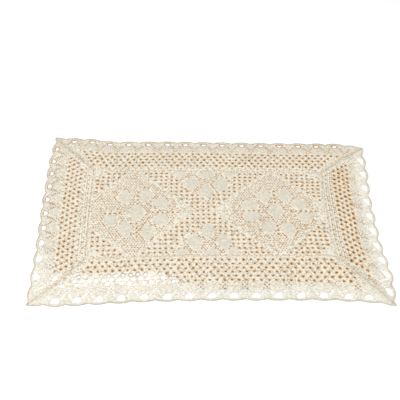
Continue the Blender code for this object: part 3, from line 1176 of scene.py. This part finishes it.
cord_path = rim_path()
rim_cord = joined("rim_cord", [ply(cord_path, winding) for winding in (0, math.pi)])
rim_cord.data.materials.append(lace_cotton)
print(rim_cord.name, "faces", len(rim_cord.data.polygons))

# %% [markdown]
# The pieces are joined by overcast stitches. One stitch is a short curve with a round
# bevel, turned into a mesh, and it is copied along each seam and, longer and fatter,
# along each mitre, where it makes a low ridge. Larger stitches are a little browner.

# %% One stitch
# The stitches have this much painted light.
STITCH_PAINTED_LIGHT = 0.3
STITCH_TINT = 1.3
STITCH_VARIES = 0.12
# Distance of stitches, half length, thickness, slant, how deep they lie in the cloth.
SEAM_STITCH = (2.4, 1.1, 0.8, 0.4, 0.2)
MITRE_STITCH = (2.3, 3.7, 1.2, 0.45, 0.1)
MITRE_STITCH_IN = 4.5
# The curve's radius, and its handles: how far down at a foot, in and up at the arch.
STITCH_RADIUS = 0.2
FOOT_DOWN, ARCH_IN, ARCH_UP = 0.4, 0.2, 0.55


def make_stitch():
    bpy.ops.object.select_all(action="DESELECT")
    bpy.ops.curve.primitive_bezier_curve_add()
    stitch = bpy.context.object
    stitch.data.resolution_u = 5
    stitch.data.bevel_depth = STITCH_RADIUS
    stitch.data.bevel_resolution = 1
    stitch.data.use_fill_caps = True
    start, end = stitch.data.splines[0].bezier_points
    start.co, end.co = (-1, 0, 0), (1, 0, 0)
    start.handle_left, end.handle_right = (-1, 0, -FOOT_DOWN), (1, 0, -FOOT_DOWN)
    start.handle_right, end.handle_left = (ARCH_IN - 1, 0, ARCH_UP), (1 - ARCH_IN, 0, ARCH_UP)
    bpy.ops.object.convert(target="MESH")
    made = bpy.context.object
    points = [v.co.copy() for v in made.data.vertices]
    faces = [tuple(p.vertices) for p in made.data.polygons]
    bpy.data.objects.remove(made)
    return points, faces


STITCH_POINTS, STITCH_FACES = make_stitch()
print("one stitch has", len(STITCH_FACES), "faces")


def stitch_row(start, end, stitch, top):
    """Stitches across the line from start to end, both flat places."""
    spacing, half_long, fat, slant, sunk = stitch
    sheet = Sheet()
    heading = math.atan2(end[1] - start[1], end[0] - start[0])
    count = int(math.dist(start, end) / spacing)
    for k in range(count):
        share = (k + 0.5) / count
        u = start[0] + (end[0] - start[0]) * share
        v = start[1] + (end[1] - start[1]) * share
        turn = heading + math.pi / 2 + slant + chance.uniform(-STITCH_VARIES, STITCH_VARIES)
        size = 1 + chance.uniform(-STITCH_VARIES, STITCH_VARIES)
        tint = STITCH_TINT * (size - 1 + STITCH_VARIES)
        above = (top - sunk) * pressed(u, v)
        base = len(sheet.vertices)
        for p in STITCH_POINTS:
            across, side = p.x * half_long * size, p.y * fat
            flat_u = u + across * math.cos(turn) - side * math.sin(turn)
            flat_v = v + across * math.sin(turn) + side * math.cos(turn)
            sheet.add(flat_u, flat_v, above + p.z * fat, tint, HOLE_DENSE, STITCH_PAINTED_LIGHT)
        sheet.faces += [tuple(base + i for i in face) for face in STITCH_FACES]
    return sheet


# %% Seams and mitres
CORNERS = [(-1, -1), (1, -1), (1, 1), (-1, 1)]
seams, mitres = [], []
for (a, b), (c, d) in zip(CORNERS, CORNERS[1:] + CORNERS[:1]):
    start, end = (a * PANEL_U, b * PANEL_V), (c * PANEL_U, d * PANEL_V)
    seams.append(stitch_row(start, end, SEAM_STITCH, THREAD + HEM_EXTRA))
for a, b in CORNERS:
    start = (a * (WIDTH / 2 - MITRE_STITCH_IN), b * (DEPTH / 2 - MITRE_STITCH_IN))
    mitres.append(stitch_row(start, (a * PANEL_U, b * PANEL_V), MITRE_STITCH, THREAD + MITRE_EXTRA))
seam_stitches = joined("seam_stitches", seams)
mitre_stitches = joined("mitre_stitches", mitres)
for piece in (seam_stitches, mitre_stitches):
    piece.data.materials.append(lace_cotton)
    print(piece.name, "faces", len(piece.data.polygons))

# %% [markdown]
# Every piece rides on the mat's one body. Each lace sheet stands for its plain solid.

# %% Attach every piece to the mat's body and hide the plain solids
for name, piece in [("centre_panel", panel), *edgings.items()]:
    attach(piece, "root")
    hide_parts(name)
    "panel_cotton" if name == "centre_panel" else "edging_cotton"
for piece in (rim_cord, seam_stitches, mitre_stitches):
    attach(piece, "root")

floor_name = "floor"
for name, piece in edgings.items():
    length = side_length(name)
    area = BORDER * (length - BORDER) * MM * MM
    length * MM

# %% [markdown]
# The floor is plain and nearly white. The light is a bright room with one large soft
# lamp, high in front at the left.

# %% Floor and light
FLOOR_WHITE = (0.98, 0.98, 0.98, 1)
ROOM_LIGHT = 0.67
LAMP_PLACE = Vector((-0.5, -0.7, 2.2))
LAMP_SIZE, LAMP_POWER = 0.8, 31
bpy.ops.mesh.primitive_plane_add(size=8.0, location=(0, 1.0, 0))
floor = bpy.context.object
floor.name = floor_name
paper = bpy.data.materials.new("white_floor")
paper.use_nodes = True
paper_surface = paper.node_tree.nodes["Principled BSDF"]
paper_surface.inputs["Base Color"].default_value = FLOOR_WHITE
paper_surface.inputs["Roughness"].default_value = 0.9
floor.data.materials.append(paper)

world = bpy.data.worlds.new("room")
bpy.context.scene.world = world
world.use_nodes = True
sky = world.node_tree.nodes["Background"]
sky.inputs["Color"].default_value = (1, 1, 1, 1)
sky.inputs["Strength"].default_value = ROOM_LIGHT

light = bpy.data.lights.new("key", "AREA")
light.shape, light.size, light.energy = "DISK", LAMP_SIZE, LAMP_POWER
lamp = bpy.data.objects.new("key", light)
lamp.location = LAMP_PLACE
lamp.rotation_euler = (-LAMP_PLACE).to_track_quat("-Z", "Y").to_euler()
bpy.context.scene.collection.objects.link(lamp)
bpy.context.scene.view_settings.view_transform = "Standard"

# %% [markdown]
# The camera looks down from the front, 44 degrees from upright and turned a little, as
# the photograph was taken. It was fitted to the eyelets' places there.

# %% Camera
CAMERA_PLACE = (-0.0355, -0.6956, 0.7590)
CAMERA_TURN, CAMERA_TILT, CAMERA_ROLL = -1.68, 43.78, 2.50
FOCAL_IN_FRAMES = 776.2 / 400

camera = bpy.data.objects.new("camera", bpy.data.cameras.new("camera"))
bpy.context.scene.collection.objects.link(camera)
turned = Matrix.Rotation(math.radians(CAMERA_TURN), 4, "Z")
tilted = Matrix.Rotation(math.radians(CAMERA_TILT), 4, "X")
rolled = Matrix.Rotation(math.radians(CAMERA_ROLL), 4, "Z")
camera.matrix_world = Matrix.Translation(CAMERA_PLACE) @ turned @ tilted @ rolled
camera.data.lens = camera.data.sensor_width * FOCAL_IN_FRAMES
bpy.context.scene.camera = camera
